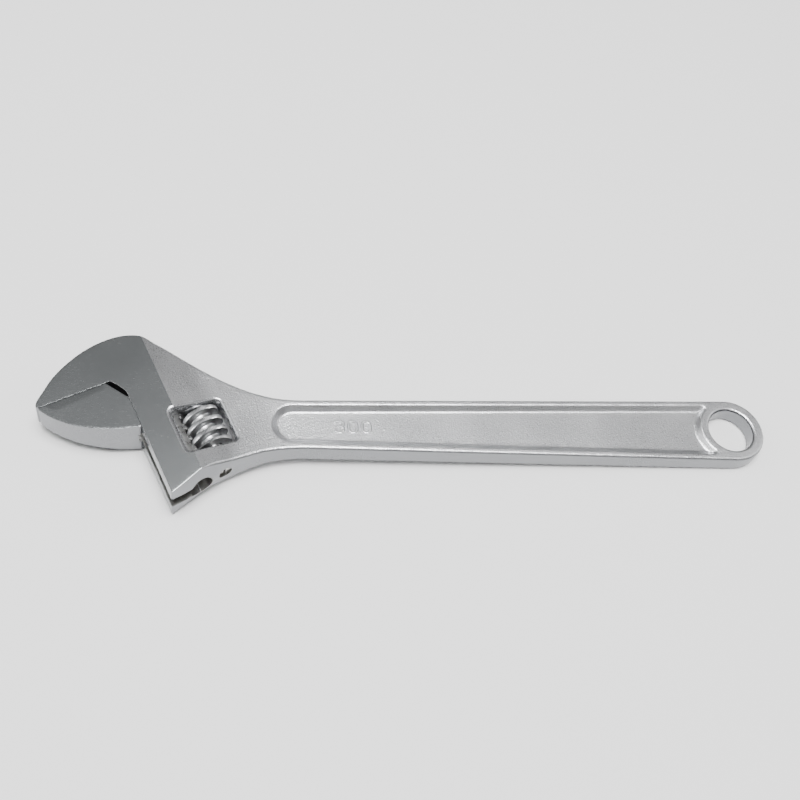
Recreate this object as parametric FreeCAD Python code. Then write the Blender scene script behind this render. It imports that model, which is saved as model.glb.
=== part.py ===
import FreeCAD, Part
import math
import os

# Adjustable wrench, 300 mm size.  Millimetres.
# The origin is the centre of the hanging hole on the mid-plane, +Z is the hole's
# axis, the handle runs along X with the head at -X.  The head is turned by
# HEAD_ANGLE: "u" is the way the movable jaw opens, "v" runs from the jaw tips
# back towards the handle.  Head points are written (a, b): a along v from the
# slide face, b along u from the gripping plane.

# ---- overall ---------------------------------------------------------------
OVERALL_LENGTH = 305.0
HEAD_ANGLE = 22.5
END_RADIUS = 14.94
HOLE_RADIUS = 10.05
HOLE_CHAMFER = 1.2

# ---- handle ----------------------------------------------------------------
HANDLE_HALF_AT_NECK = 11.4
NECK_END_X = -186.0
HANDLE_HALF_THICK_END = 4.16
HANDLE_HALF_THICK_NECK = 4.77
EDGE_ROUND = 0.9
RIM_WIDTH = 2.3
POCKET_FLOOR_Z = 2.3
POCKET_WALL_RUN = 2.4
POCKET_START_X = -199.0
POCKET_END_RADIUS = 13.6
POCKET_CORNER = 2.2
MARK_HEIGHT = 6.0
MARK_RAISE = 0.45
MARK_STROKE = 0.9
MARK_START_X = -173.5

# ---- head ------------------------------------------------------------------
JAW_REACH = 33.5
SLIDE_HALF_THICK = 9.01
HEAD_TAPER = 0.102
GROUND_DEPTH = 14.0
JAW_HALF_HEIGHT = 18.7
BAR_END_B = 55.6
NECK_SIDE_B = 50.2
THROAT_RELIEF_A = 4.4
THROAT_RELIEF_B = 8.2

# ---- movable jaw -----------------------------------------------------------
OPENING = 34.0
JAW_HEIGHT = 23.9
JAW_GAP = 0.05
SLIDE_GAP = 0.05
JAW_CHAMFER_A = 6.2
JAW_CHAMFER_B = 10.0
JAW_LEAD_FACE = 3.9
JAW_LEAD_DROP = 0.35
SLOT_WIDTH = 6.0
SLOT_CLEARANCE = 0.06
SLOT_TOP_B = 4.5
WEB_TOP_B = 6.0
BORE_RADIUS = 5.0
BORE_A = 12.95
STEM_CLEARANCE = 0.08
STEM_TOP_B = -1.9
STEM_LENGTH = 44.8
STEM_END_CHAMFER = 0.8
BORE_TOP_B = -3.2

# ---- worm ------------------------------------------------------------------
WORM_A = 23.85
WORM_RADIUS = 8.0
WORM_ROOT_RADIUS = 5.0
WORM_PITCH = 5.0
WORM_CREST = 1.9
WORM_FLANK_RUN = 0.45
WORM_TOP_B = 22.0
WORM_LENGTH = 17.4
WORM_RIDGE_B = 24.15
WORM_END_CHAMFER = 0.4
RACK_GROOVE_TIP = 3.25
RACK_GROOVE_ROOT = 2.35
RACK_TIP_CLEARANCE = 0.4

# ---- worm window, pin and spring -------------------------------------------
WINDOW_SIDE_GAP = 0.75
WINDOW_LEFT_A = 12.7
WINDOW_TOP_GAP = 0.3
WINDOW_LOW_GAP = 2.6
WINDOW_FLARE_Z = 5.0
WINDOW_FLARE = 2.4
PIN_RADIUS = 2.5
PIN_BORE_CLEARANCE = 0.05
PIN_SEAT_DEPTH = 7.5
PIN_HEAD_RADIUS = 2.75
PIN_HEAD_LENGTH = 5.5
PIN_HEAD_SINK = 0.6
PIN_SLOT_WIDTH = 0.9
PIN_SLOT_DEPTH = 1.3
SPRING_WIRE = 0.8
SPRING_MEAN_RADIUS = 3.45
SPRING_COILS = 3.6
SPRING_POCKET_DEPTH = 2.5
SPRING_POCKET_RADIUS = 4.1
SPRING_GAP = 0.03

BIG = 400.0


# ---- the two head directions and the head's own coordinates ----------------
PSI = math.radians(HEAD_ANGLE)
V_DIR = FreeCAD.Vector(math.cos(PSI), math.sin(PSI), 0)
U_DIR = FreeCAD.Vector(math.sin(PSI), -math.cos(PSI), 0)
Z_DIR = FreeCAD.Vector(0, 0, 1)
TIP_X = END_RADIUS - OVERALL_LENGTH
# the blunt tip of the fixed jaw is the far end of the overall length
THROAT_X = TIP_X + (JAW_REACH + 0.2) * math.cos(PSI) + 1.3 * math.sin(PSI)
THROAT_Y = 17.56
THROAT = FreeCAD.Vector(THROAT_X, THROAT_Y, 0)


def at(a, b, z=0.0):
    p = THROAT + V_DIR * a + U_DIR * b
    return FreeCAD.Vector(p.x, p.y, z)


def curve(points):
    c = Part.BSplineCurve()
    c.interpolate(points)
    return c.toShape()


def curve_t(points, t0, t1):
    c = Part.BSplineCurve()
    c.interpolate(Points=points, InitialTangent=t0, FinalTangent=t1)
    return c.toShape()


def line(p, q):
    return Part.LineSegment(p, q).toShape()


def prism(edges, low, high):
    face = Part.Face(Part.Wire(edges))
    face.translate(FreeCAD.Vector(0, 0, low))
    return face.extrude(FreeCAD.Vector(0, 0, high - low))


def block(a0, a1, b0, b1, z0, z1):
    c = [at(a0, b0), at(a1, b0), at(a1, b1), at(a0, b1)]
    edges = [line(c[i], c[(i + 1) % 4]) for i in range(4)]
    return prism(edges, z0, z1)


def rod(radius, a, b0, b1):
    return Part.makeCylinder(radius, b1 - b0, at(a, b0), U_DIR)


def head_half(a):
    return SLIDE_HALF_THICK + HEAD_TAPER * a


# ---- body outline ----------------------------------------------------------
def handle_line():
    # the handle's sides are tangent to the round end
    slope = math.asin((END_RADIUS - HANDLE_HALF_AT_NECK) / abs(NECK_END_X))
    touch = FreeCAD.Vector(-END_RADIUS * math.sin(slope), END_RADIUS * math.cos(slope), 0)
    run = touch.x - NECK_END_X
    start = FreeCAD.Vector(NECK_END_X, touch.y - run * math.tan(slope), 0)
    return start, touch


def mirrored(p):
    return FreeCAD.Vector(p.x, -p.y, p.z)


def fixed_jaw_back():
    r = JAW_REACH
    h = JAW_HALF_HEIGHT
    pts = [at(-r - 0.2, -1.3), at(-0.955 * r, -0.18 * h), at(-0.895 * r, -0.285 * h),
           at(-0.746 * r, -0.519 * h), at(-0.597 * r, -0.69 * h), at(-0.448 * r, -0.818 * h),
           at(-0.2985 * r, -0.914 * h), at(-0.149 * r, -0.975 * h), at(0, -h),
           at(5.0, -0.988 * h), at(10.0, -0.914 * h), at(GROUND_DEPTH, -0.797 * h)]
    return pts


def neck_far(start, end):
    x0 = start.x
    y0 = start.y
    dx = end.x - x0
    dy = y0 - end.y
    shares = [(0.095, 0.900), (0.172, 0.800), (0.248, 0.681), (0.325, 0.572), (0.402, 0.452),
              (0.478, 0.345), (0.555, 0.250), (0.631, 0.172), (0.708, 0.104), (0.785, 0.050),
              (0.861, 0.020)]
    pts = [FreeCAD.Vector(x0 + s * dx, end.y + t * dy, 0) for s, t in shares]
    return [start] + pts + [end]


def neck_near(end):
    side = NECK_SIDE_B
    head = at(32.0, side - 0.2)
    shares = [(0.747, 0.070), (0.499, 0.230), (0.330, 0.421), (0.166, 0.691)]
    pts = [end]
    for s, t in shares:
        pts.append(FreeCAD.Vector(head.x + s * (end.x - head.x), end.y + t * (head.y - end.y), 0))
    pts += [head, at(27.8, side - 0.15), at(23.5, side), at(19.3, side + 0.25),
            at(GROUND_DEPTH, side + 1.1), at(9.0, side + 2.75), at(4.0, side + 4.5),
            at(1.2, BAR_END_B - 0.35)]
    return pts


def body_outline():
    far_start, far_touch = handle_line()
    near_start = mirrored(far_start)
    near_touch = mirrored(far_touch)
    back = fixed_jaw_back()
    far = neck_far(back[-1], far_start)
    near = neck_near(near_start)
    along = (far_touch - far_start).normalize()
    along_back = (near_start - near_touch).normalize()
    corner = at(0, BAR_END_B - 1.3)
    relief = [at(0, THROAT_RELIEF_B), at(-0.18 * THROAT_RELIEF_A, 0.66 * THROAT_RELIEF_B),
              at(-0.62 * THROAT_RELIEF_A, 0.26 * THROAT_RELIEF_B), at(-THROAT_RELIEF_A, 0)]
    edges = []
    edges.append(line(at(-JAW_REACH, 0), back[0]))
    edges.append(curve(back))
    edges.append(curve_t(far, (far[1] - far[0]).normalize(), along))
    edges.append(line(far_start, far_touch))
    mid = FreeCAD.Vector(END_RADIUS, 0, 0)
    edges.append(Part.Arc(far_touch, mid, near_touch).toShape())
    edges.append(line(near_touch, near_start))
    edges.append(curve_t(near, along_back, (near[-1] - near[-2]).normalize()))
    edges.append(Part.Arc(near[-1], at(0.35, BAR_END_B - 0.45), corner).toShape())
    edges.append(line(corner, relief[0]))
    edges.append(curve(relief))
    edges.append(line(relief[-1], at(-JAW_REACH, 0)))
    return edges


def thickness_slab():
    # side view of the forging, drawn in a and z, pushed through along u
    neck = [(GROUND_DEPTH, 1.0), (19.3, 0.745), (23.5, 0.565), (27.8, 0.385), (32.0, 0.27),
            (36.2, 0.195), (40.3, 0.13), (44.3, 0.08), (50.0, 0.02), (54.0, 0.0)]
    top = head_half(GROUND_DEPTH)
    low = HANDLE_HALF_THICK_NECK
    pts = [at(a, 0, low + k * (top - low)) for a, k in neck]
    tip_a = -JAW_REACH - 3.0
    hole_a = -THROAT.dot(V_DIR)
    end_a = hole_a + END_RADIUS + 5.0
    fall = (low - HANDLE_HALF_THICK_END) / (hole_a - neck[-1][0])
    end_half = HANDLE_HALF_THICK_END - fall * (end_a - hole_a)
    start = at(tip_a, 0, head_half(tip_a))
    end = at(end_a, 0, end_half)
    upper = [line(start, pts[0]), curve(pts), line(pts[-1], end)]
    wire_up = Part.Wire(upper)
    wire_low = wire_up.mirror(FreeCAD.Vector(0, 0, 0), Z_DIR)
    p0 = at(tip_a, 0, -head_half(tip_a))
    p1 = at(end_a, 0, -end_half)
    ring = Part.Wire(upper + [line(end, p1)] + wire_low.Edges[::-1] + [line(p0, start)])
    face = Part.Face(ring)
    face.translate(U_DIR * -BIG)
    return face.extrude(U_DIR * (2 * BIG))


def round_long_edges(solid):
    # the forging's neck and handle edges are rounded, the ground head is sharp
    chosen = []
    for e in solid.Edges:
        mid = e.valueAt((e.FirstParameter + e.LastParameter) / 2)
        rel = mid - THROAT
        if e.Length > 20 and rel.dot(V_DIR) > GROUND_DEPTH and abs(mid.z) > 2:
            chosen.append(e)
    return solid.makeFillet(EDGE_ROUND, chosen)


def forging():
    raw = prism(body_outline(), -20, 20)
    return raw.common(thickness_slab())


# ---- handle details --------------------------------------------------------
def pocket_wire(inset, z):
    # rim line of the handle's recess, moved inwards by "inset"
    start, touch = handle_line()
    along = (touch - start).normalize()
    x1 = POCKET_START_X + inset
    width0 = start.y + (x1 + 9.0 - start.x) * along.y / along.x - RIM_WIDTH - inset
    r = POCKET_END_RADIUS + inset
    y1 = touch.y - RIM_WIDTH - inset - 0.4
    corner = min(POCKET_CORNER, y1 * 0.3)
    ya = y1 - corner
    xa = -math.sqrt(r * r - ya * ya)
    p_top = FreeCAD.Vector(x1 + width0, width0, z)
    p_low = FreeCAD.Vector(x1 + width0, -width0, z)
    p_left = FreeCAD.Vector(x1, 0, z)
    q_top = FreeCAD.Vector(xa - corner * 0.9, y1, z)
    q_low = FreeCAD.Vector(xa - corner * 0.9, -y1, z)
    m_top = FreeCAD.Vector(xa, ya, z)
    m_low = FreeCAD.Vector(xa, -ya, z)
    bend_top = FreeCAD.Vector(xa - corner * 0.12, y1 - corner * 0.25, z)
    bend_low = FreeCAD.Vector(xa - corner * 0.12, -y1 + corner * 0.25, z)
    edges = [Part.Arc(p_low, p_left, p_top).toShape(), line(p_top, q_top)]
    edges.append(Part.Arc(q_top, bend_top, m_top).toShape())
    edges.append(Part.Arc(m_top, FreeCAD.Vector(-r, 0, z), m_low).toShape())
    edges.append(Part.Arc(m_low, bend_low, q_low).toShape())
    edges.append(line(q_low, p_low))
    return Part.Wire(edges)


def pocket():
    depth = HANDLE_HALF_THICK_NECK + 1.0 - POCKET_FLOOR_Z
    grow = POCKET_WALL_RUN * 1.0 / (HANDLE_HALF_THICK_NECK - POCKET_FLOOR_Z)
    low = pocket_wire(POCKET_WALL_RUN, POCKET_FLOOR_Z)
    high = pocket_wire(-grow, POCKET_FLOOR_Z + depth)
    return Part.makeLoft([low, high], True, True)


def side_points(points, half, closed):
    # the points of a line moved to one side of it, with mitred corners
    n = len(points)
    out = []
    for i in range(n):
        ways = []
        if closed or i > 0:
            ways.append((points[i] - points[i - 1]).normalize())
        if closed or i < n - 1:
            ways.append((points[(i + 1) % n] - points[i]).normalize())
        a = ways[0]
        b = ways[-1]
        m = FreeCAD.Vector(-a.y - b.y, a.x + b.x, 0).normalize()
        out.append(points[i] + m * (half / (m.y * a.x - m.x * a.y)))
    return out


def ring_edges(points):
    return [line(points[i], points[(i + 1) % len(points)]) for i in range(len(points))]


def stroke(points, width, closed, low, high):
    one = side_points(points, width / 2, closed)
    two = side_points(points, -width / 2, closed)
    if not closed:
        return prism(ring_edges(one + two[::-1]), low, high)
    a = prism(ring_edges(one), low, high)
    b = prism(ring_edges(two), low, high)
    if a.Volume > b.Volume:
        return a.cut(b)
    return b.cut(a)


def size_mark():
    # plain raised size number on the pocket floor, read with the head to the left
    h = (MARK_HEIGHT - MARK_STROKE) / 2
    w = MARK_HEIGHT * 0.28
    bowls = [(-1, 0.8), (-0.5, 1), (0.45, 1), (0.95, 0.72), (0.95, 0.3), (0.5, 0.02),
             (1, -0.26), (1, -0.7), (0.45, -1), (-0.5, -1), (-1, -0.8)]
    bar = [(-0.35, 0.02), (0.5, 0.02)]
    zero = [(-0.4, 1), (0.4, 1), (0.88, 0.7), (1, 0.3), (1, -0.3), (0.88, -0.7),
            (0.4, -1), (-0.4, -1), (-0.88, -0.7), (-1, -0.3), (-1, 0.3), (-0.88, 0.7)]
    low = POCKET_FLOOR_Z - 0.2
    high = POCKET_FLOOR_Z + MARK_RAISE
    marks = []
    for i, shape, closed in ((0, bowls, False), (0, bar, False), (1, zero, True), (2, zero, True)):
        x = MARK_START_X + w + MARK_STROKE / 2 + i * (2 * w + 2.4 * MARK_STROKE)
        pts = [FreeCAD.Vector(x + px * w, py * h, 0) for px, py in shape]
        marks.append(stroke(pts, MARK_STROKE, closed, low, high))
    return marks[0].fuse(marks[1:]).removeSplitter()


def turned_over(shape):
    other = shape.copy()
    other.rotate(FreeCAD.Vector(0, 0, 0), FreeCAD.Vector(1, 0, 0), 180)
    return other


def hanging_hole():
    cutter = Part.makeCylinder(HOLE_RADIUS, 40, FreeCAD.Vector(0, 0, -20))
    top = HANDLE_HALF_THICK_END
    cone_h = HOLE_CHAMFER + 1.0
    cone = Part.makeCone(HOLE_RADIUS, HOLE_RADIUS + cone_h, cone_h,
                         FreeCAD.Vector(0, 0, top - HOLE_CHAMFER))
    return cutter.fuse([cone, turned_over(cone)])


# ---- head cut-outs ---------------------------------------------------------
def window_size():
    a1 = WORM_A + WORM_RADIUS + WINDOW_SIDE_GAP
    b0 = WORM_TOP_B - WINDOW_TOP_GAP
    b1 = WORM_TOP_B + WORM_LENGTH + WINDOW_LOW_GAP
    return WINDOW_LEFT_A, a1, b0, b1


def window_ring(grow, z):
    a0, a1, b0, b1 = window_size()
    a0 = a0 - grow
    a1 = a1 + grow
    b0 = b0 - grow
    b1 = b1 + grow
    r = 1.6 + grow
    k = r * (1 - math.sqrt(0.5))
    e = [line(at(a0 + r, b0, z), at(a1 - r, b0, z)),
         Part.Arc(at(a1 - r, b0, z), at(a1 - k, b0 + k, z), at(a1, b0 + r, z)).toShape(),
         line(at(a1, b0 + r, z), at(a1, b1 - r, z)),
         Part.Arc(at(a1, b1 - r, z), at(a1 - k, b1 - k, z), at(a1 - r, b1, z)).toShape(),
         line(at(a1 - r, b1, z), at(a0 + r, b1, z)),
         Part.Arc(at(a0 + r, b1, z), at(a0 + k, b1 - k, z), at(a0, b1 - r, z)).toShape(),
         line(at(a0, b1 - r, z), at(a0, b0 + r, z)),
         Part.Arc(at(a0, b0 + r, z), at(a0 + k, b0 + k, z), at(a0 + r, b0, z)).toShape()]
    return Part.Wire(e)


def window():
    base = Part.Face(window_ring(0, -20)).extrude(FreeCAD.Vector(0, 0, 40))
    top_z = head_half(WINDOW_LEFT_A) + 1.0
    rate = WINDOW_FLARE / (head_half(WINDOW_LEFT_A) - WINDOW_FLARE_Z)
    flare = Part.makeLoft([window_ring(0, WINDOW_FLARE_Z),
                           window_ring(rate * (top_z - WINDOW_FLARE_Z), top_z)], True, True)
    return base.fuse([flare, turned_over_head(flare)])


def turned_over_head(shape):
    return shape.mirror(FreeCAD.Vector(0, 0, 0), Z_DIR)


def keyway():
    # round bore for the rack stem, open to the slide face through a flat slot
    out_b = BAR_END_B + 10
    bore = rod(BORE_RADIUS, BORE_A, BORE_TOP_B, out_b)
    slot = block(-2, BORE_A, SLOT_TOP_B, out_b, -SLOT_WIDTH / 2, SLOT_WIDTH / 2)
    return bore.fuse(slot)


def pin_seat():
    a0, a1, b0, b1 = window_size()
    shank = rod(PIN_RADIUS, WORM_A, b0 - PIN_SEAT_DEPTH, b1 + 1)
    thread_start = NECK_SIDE_B - PIN_HEAD_SINK - PIN_HEAD_LENGTH
    low = rod(PIN_RADIUS, WORM_A, b1 - 1, thread_start)
    head = rod(PIN_HEAD_RADIUS, WORM_A, thread_start, NECK_SIDE_B + 5)
    return shank.fuse([low, head])


def make_body():
    solid = round_long_edges(forging())
    tools = [window(), keyway(), pin_seat(), hanging_hole(), pocket(), turned_over(pocket())]
    for t in tools:
        solid = solid.cut(t)
    mark = size_mark()
    solid = solid.fuse([mark, turned_over(mark)])
    return solid.removeSplitter()


# ---- movable jaw -----------------------------------------------------------
def jaw_outline():
    r = JAW_REACH - 0.3
    h = JAW_HEIGHT
    g = JAW_GAP
    s = -SLIDE_GAP
    back = [at(-r, g + 1.2), at(-0.97 * r, 0.115 * h), at(-0.905 * r, 0.254 * h),
            at(-0.815 * r, 0.404 * h), at(-0.755 * r, 0.486 * h), at(-0.604 * r, 0.643 * h),
            at(-0.453 * r, 0.767 * h), at(-0.302 * r, 0.867 * h), at(-0.151 * r, 0.951 * h),
            at(s, h)]
    return [line(at(-r - 0.05, g), back[0]), curve(back), line(at(s, h), at(s, JAW_CHAMFER_B)),
            line(at(s, JAW_CHAMFER_B), at(-JAW_CHAMFER_A, g)),
            line(at(-JAW_CHAMFER_A, g), at(-r - 0.05, g))]


def jaw_slab():
    a0 = -JAW_REACH - 3.0
    pts = [at(a0, 0, head_half(a0)), at(20, 0, head_half(20)),
           at(20, 0, -head_half(20)), at(a0, 0, -head_half(a0))]
    ring = Part.Wire([line(pts[i], pts[(i + 1) % 4]) for i in range(4)])
    face = Part.Face(ring)
    face.translate(U_DIR * -100)
    return face.extrude(U_DIR * 200)


def lead_face():
    # shallow bevel along the gripping edge of the movable jaw, deepest near the tip
    a0 = -0.93 * JAW_REACH
    a1 = -JAW_CHAMFER_A - 1.5
    z0 = head_half(a0) - JAW_LEAD_DROP
    z1 = head_half(a1)
    low = [at(a0 + 3.5, JAW_LEAD_FACE, head_half(a0 + 3.5)), at(a0, -1, z0), at(a1, -1, z1)]
    lift = FreeCAD.Vector(0, 0, 3)
    tri = Part.Face(Part.Wire([line(low[i], low[(i + 1) % 3]) for i in range(3)]))
    return tri.extrude(lift)


def stem():
    end_b = STEM_TOP_B + STEM_LENGTH
    r = BORE_RADIUS - STEM_CLEARANCE
    c = STEM_END_CHAMFER
    body = rod(r, BORE_A, STEM_TOP_B + c, end_b - c)
    top = Part.makeCone(r - c, r, c, at(BORE_A, STEM_TOP_B), U_DIR)
    low = Part.makeCone(r, r - c, c, at(BORE_A, end_b - c), U_DIR)
    return body.fuse([top, low]).removeSplitter()


def web():
    half = SLOT_WIDTH / 2 - SLOT_CLEARANCE
    return block(-1.5, BORE_A, WEB_TOP_B, JAW_HEIGHT, -half, half)


def rack_groove(b):
    tip = BORE_A + BORE_RADIUS + 0.6
    root = WORM_A - WORM_RADIUS - RACK_TIP_CLEARANCE
    rate = (RACK_GROOVE_TIP - RACK_GROOVE_ROOT) / (BORE_A + BORE_RADIUS - root)
    w1 = (RACK_GROOVE_TIP + rate * 0.6) / 2
    w0 = RACK_GROOVE_ROOT / 2
    tilt = WORM_PITCH / (2 * math.pi * (WORM_RADIUS - 1.0))
    ends = []
    for z in (-6.0, 6.0):
        s = b - tilt * z
        c = [at(root, s - w0, z), at(tip, s - w1, z), at(tip, s + w1, z), at(root, s + w0, z)]
        ends.append(Part.Wire([line(c[i], c[(i + 1) % 4]) for i in range(4)]))
    return Part.makeLoft(ends, True, True)


def rack_grooves():
    first = WORM_RIDGE_B + WORM_PITCH / 4
    n0 = math.ceil((STEM_TOP_B - 2 - first) / WORM_PITCH)
    n1 = math.floor((STEM_TOP_B + STEM_LENGTH + 2 - first) / WORM_PITCH)
    return [rack_groove(first + n * WORM_PITCH) for n in range(n0, n1 + 1)]


def make_jaw():
    head = prism(jaw_outline(), -20, 20).common(jaw_slab())
    bevel = lead_face()
    head = head.cut(bevel)
    head = head.cut(turned_over_head(bevel))
    shank = stem()
    for g in rack_grooves():
        shank = shank.cut(g)
    return head.fuse([web(), shank]).removeSplitter()


# ---- worm ------------------------------------------------------------------
def worm_thread():
    turns = WORM_LENGTH / WORM_PITCH + 2.5
    start_b = WORM_RIDGE_B - math.ceil((WORM_RIDGE_B - WORM_TOP_B) / WORM_PITCH + 1) * WORM_PITCH
    helix = Part.makeHelix(WORM_PITCH, turns * WORM_PITCH, WORM_ROOT_RADIUS, 0, False)
    tip = WORM_CREST / 2
    base = tip + WORM_FLANK_RUN
    inner = WORM_ROOT_RADIUS - 0.4
    grow = WORM_FLANK_RUN * 0.4 / (WORM_RADIUS - WORM_ROOT_RADIUS)
    c = [FreeCAD.Vector(inner, 0, -base - grow), FreeCAD.Vector(WORM_RADIUS, 0, -tip),
         FreeCAD.Vector(WORM_RADIUS, 0, tip), FreeCAD.Vector(inner, 0, base + grow)]
    profile = Part.Wire([line(c[i], c[(i + 1) % 4]) for i in range(4)])
    thread = Part.Wire(helix).makePipeShell([profile], True, True)
    # local x becomes +Z of the wrench and local z becomes u, so the ridge passes
    # the top of the worm at WORM_RIDGE_B
    m = FreeCAD.Matrix(0, -V_DIR.x, U_DIR.x, 0,
                       0, -V_DIR.y, U_DIR.y, 0,
                       1, 0, 0, 0,
                       0, 0, 0, 1)
    thread.transformShape(m)
    thread.translate(at(WORM_A, start_b))
    return thread


def worm_blank():
    c = WORM_END_CHAMFER
    b0 = WORM_TOP_B
    b1 = WORM_TOP_B + WORM_LENGTH
    mid = rod(WORM_RADIUS, WORM_A, b0 + c, b1 - c)
    top = Part.makeCone(WORM_RADIUS - c, WORM_RADIUS, c, at(WORM_A, b0), U_DIR)
    low = Part.makeCone(WORM_RADIUS, WORM_RADIUS - c, c, at(WORM_A, b1 - c), U_DIR)
    return mid.fuse([top, low]).removeSplitter()


def make_worm():
    b1 = WORM_TOP_B + WORM_LENGTH
    core = rod(WORM_ROOT_RADIUS, WORM_A, WORM_TOP_B, b1)
    ridge = worm_thread().common(worm_blank())
    solid = core.fuse(ridge)
    solid = solid.cut(rod(PIN_RADIUS + PIN_BORE_CLEARANCE, WORM_A, WORM_TOP_B - 1, b1 + 1))
    solid = solid.cut(rod(SPRING_POCKET_RADIUS, WORM_A, b1 - SPRING_POCKET_DEPTH, b1 + 1))
    return solid


# ---- pin and spring --------------------------------------------------------
def make_pin():
    a0, a1, b0, b1 = window_size()
    thread_start = NECK_SIDE_B - PIN_HEAD_SINK - PIN_HEAD_LENGTH
    end = NECK_SIDE_B - PIN_HEAD_SINK
    shank = rod(PIN_RADIUS, WORM_A, b0 - PIN_SEAT_DEPTH, thread_start)
    head = rod(PIN_HEAD_RADIUS, WORM_A, thread_start, end)
    half = PIN_SLOT_WIDTH / 2
    slot = block(WORM_A - half, WORM_A + half, end - PIN_SLOT_DEPTH, end + 1, -5, 5)
    return shank.fuse(head).removeSplitter().cut(slot)


def make_spring():
    a0, a1, b0, b1 = window_size()
    s0 = WORM_TOP_B + WORM_LENGTH - SPRING_POCKET_DEPTH + SPRING_GAP
    length = b1 - s0
    rise = (length - SPRING_WIRE * 0.5) / SPRING_COILS
    helix = Part.makeHelix(rise, rise * SPRING_COILS, SPRING_MEAN_RADIUS, 0, False)
    ring = Part.makeCircle(SPRING_WIRE / 2, FreeCAD.Vector(SPRING_MEAN_RADIUS, 0, 0),
                           FreeCAD.Vector(0, 1, 0))
    wire = Part.Wire(helix).makePipeShell([Part.Wire([ring])], True, True)
    m = FreeCAD.Matrix(0, -V_DIR.x, U_DIR.x, 0,
                       0, -V_DIR.y, U_DIR.y, 0,
                       1, 0, 0, 0,
                       0, 0, 0, 1)
    wire.transformShape(m)
    wire.translate(at(WORM_A, s0 + SPRING_WIRE * 0.25))
    return wire.common(rod(SPRING_MEAN_RADIUS + SPRING_WIRE, WORM_A, s0, b1))


def solid_of(shape):
    best = max(shape.Solids, key=lambda s: s.Volume)
    return best


def main():
    os.makedirs("parts", exist_ok=True)
    made = {"body": make_body(), "movable_jaw": make_jaw(), "worm": make_worm(),
            "worm_pin": make_pin(), "worm_spring": make_spring()}
    for name, shape in made.items():
        piece = solid_of(shape)
        print(name, len(shape.Solids), round(piece.Volume, 1), piece.isValid(),
              [round(x, 2) for x in (piece.BoundBox.XMin, piece.BoundBox.XMax,
                                     piece.BoundBox.YMin, piece.BoundBox.YMax,
                                     piece.BoundBox.ZMin, piece.BoundBox.ZMax)])
        piece.exportStep("parts/" + name + ".step")


main()
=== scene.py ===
import math

import bmesh
import bpy
import numpy as np
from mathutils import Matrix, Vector, kdtree
from mathutils.geometry import delaunay_2d_cdt


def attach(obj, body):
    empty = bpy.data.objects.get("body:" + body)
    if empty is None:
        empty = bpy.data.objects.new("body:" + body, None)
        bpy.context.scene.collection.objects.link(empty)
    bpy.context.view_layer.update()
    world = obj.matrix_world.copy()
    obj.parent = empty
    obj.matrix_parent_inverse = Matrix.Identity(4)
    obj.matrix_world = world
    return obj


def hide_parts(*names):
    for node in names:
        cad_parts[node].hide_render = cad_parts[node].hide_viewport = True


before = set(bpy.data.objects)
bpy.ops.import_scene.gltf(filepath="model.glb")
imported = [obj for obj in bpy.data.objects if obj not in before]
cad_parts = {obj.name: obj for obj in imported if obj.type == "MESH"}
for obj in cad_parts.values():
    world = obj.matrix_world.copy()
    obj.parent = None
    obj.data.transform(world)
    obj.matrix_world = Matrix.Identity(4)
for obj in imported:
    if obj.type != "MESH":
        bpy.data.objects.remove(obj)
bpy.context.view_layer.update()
MM = 0.001
rng = np.random.default_rng(11)

# ---------------------------------------------------------------- dimensions, mm
PSI = math.radians(22.5)
V = np.array([math.cos(PSI), math.sin(PSI)])
U = np.array([math.sin(PSI), -math.cos(PSI)])
END_R, HOLE_R = 14.92, 10.05
THROAT = np.array([14.94 - 305.0 + 33.7 * V[0] + 1.3 * U[0], 17.56])
GROUND_A = 14.0
WORM_A, WORM_R, WORM_ROOT, PITCH = 23.85, 8.0, 5.0, 5.0
WORM_B0, WORM_B1, RIDGE_B = 22.0, 39.4, 24.15
PIN_R, PIN_HEAD_R, PIN_HEAD_HOLE_R = 2.5, 2.74, 2.86
WORM_HOLE_R, SPRING_SEAT_R = 2.55, 4.1
BORE_A, BORE_R, STEM_R = 12.95, 5.0, 4.92
WIN = (12.7, 32.6, 21.7, 42.0)
NECK = [(14.0, 10.44), (19.3, 8.98), (23.5, 7.97), (27.8, 6.95), (32.0, 6.3), (36.2, 5.87),
        (40.3, 5.5), (44.3, 5.22), (50.0, 4.88), (54.0, 4.77)]
HOLE_A = -float(THROAT @ V)
FLOOR_Z = 2.3            # half thickness of the web in the handle's recess
SLIDE_H, HEAD_TAPER = 9.01, 0.102   # half thickness at the slide face, and its rise per mm
NECK_END_H, HANDLE_END_H = 4.77, 4.16
TOP_Y, TOP_H = 37.172, 10.42        # the forging's furthest reach sideways and upwards
HANDLE_RUN, HANDLE_HALF_W = 186.0, 11.4


def ab(a, b):
    a, b = np.broadcast_arrays(np.asarray(a, float), np.asarray(b, float))
    return THROAT + a[..., None] * V + b[..., None] * U


def to_ab(p):
    q = p - THROAT
    return q @ V, q @ U


# ---------------------------------------------------------------- curves
def cubic(ts, ys, t):
    """Natural cubic spline through (ts, ys), read at t."""
    n = len(ts)
    h = np.diff(ts)
    m = np.zeros((n, n))
    r = np.zeros((n,) + ys.shape[1:])
    m[0, 0] = m[-1, -1] = 1
    for i in range(1, n - 1):
        m[i, i - 1:i + 2] = h[i - 1], 2 * (h[i - 1] + h[i]), h[i]
        r[i] = 6 * ((ys[i + 1] - ys[i]) / h[i] - (ys[i] - ys[i - 1]) / h[i - 1])
    k = np.linalg.solve(m, r)
    i = np.clip(np.searchsorted(ts, t) - 1, 0, n - 2)
    d = (t - ts[i])
    e = (ts[i + 1] - t)
    hi = h[i]
    if ys.ndim > 1:
        d, e, hi = d[:, None], e[:, None], hi[:, None]
    return (k[i] * e ** 3 + k[i + 1] * d ** 3) / (6 * hi) + (ys[i] / hi - k[i] * hi / 6) * e \
        + (ys[i + 1] / hi - k[i + 1] * hi / 6) * d


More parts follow.
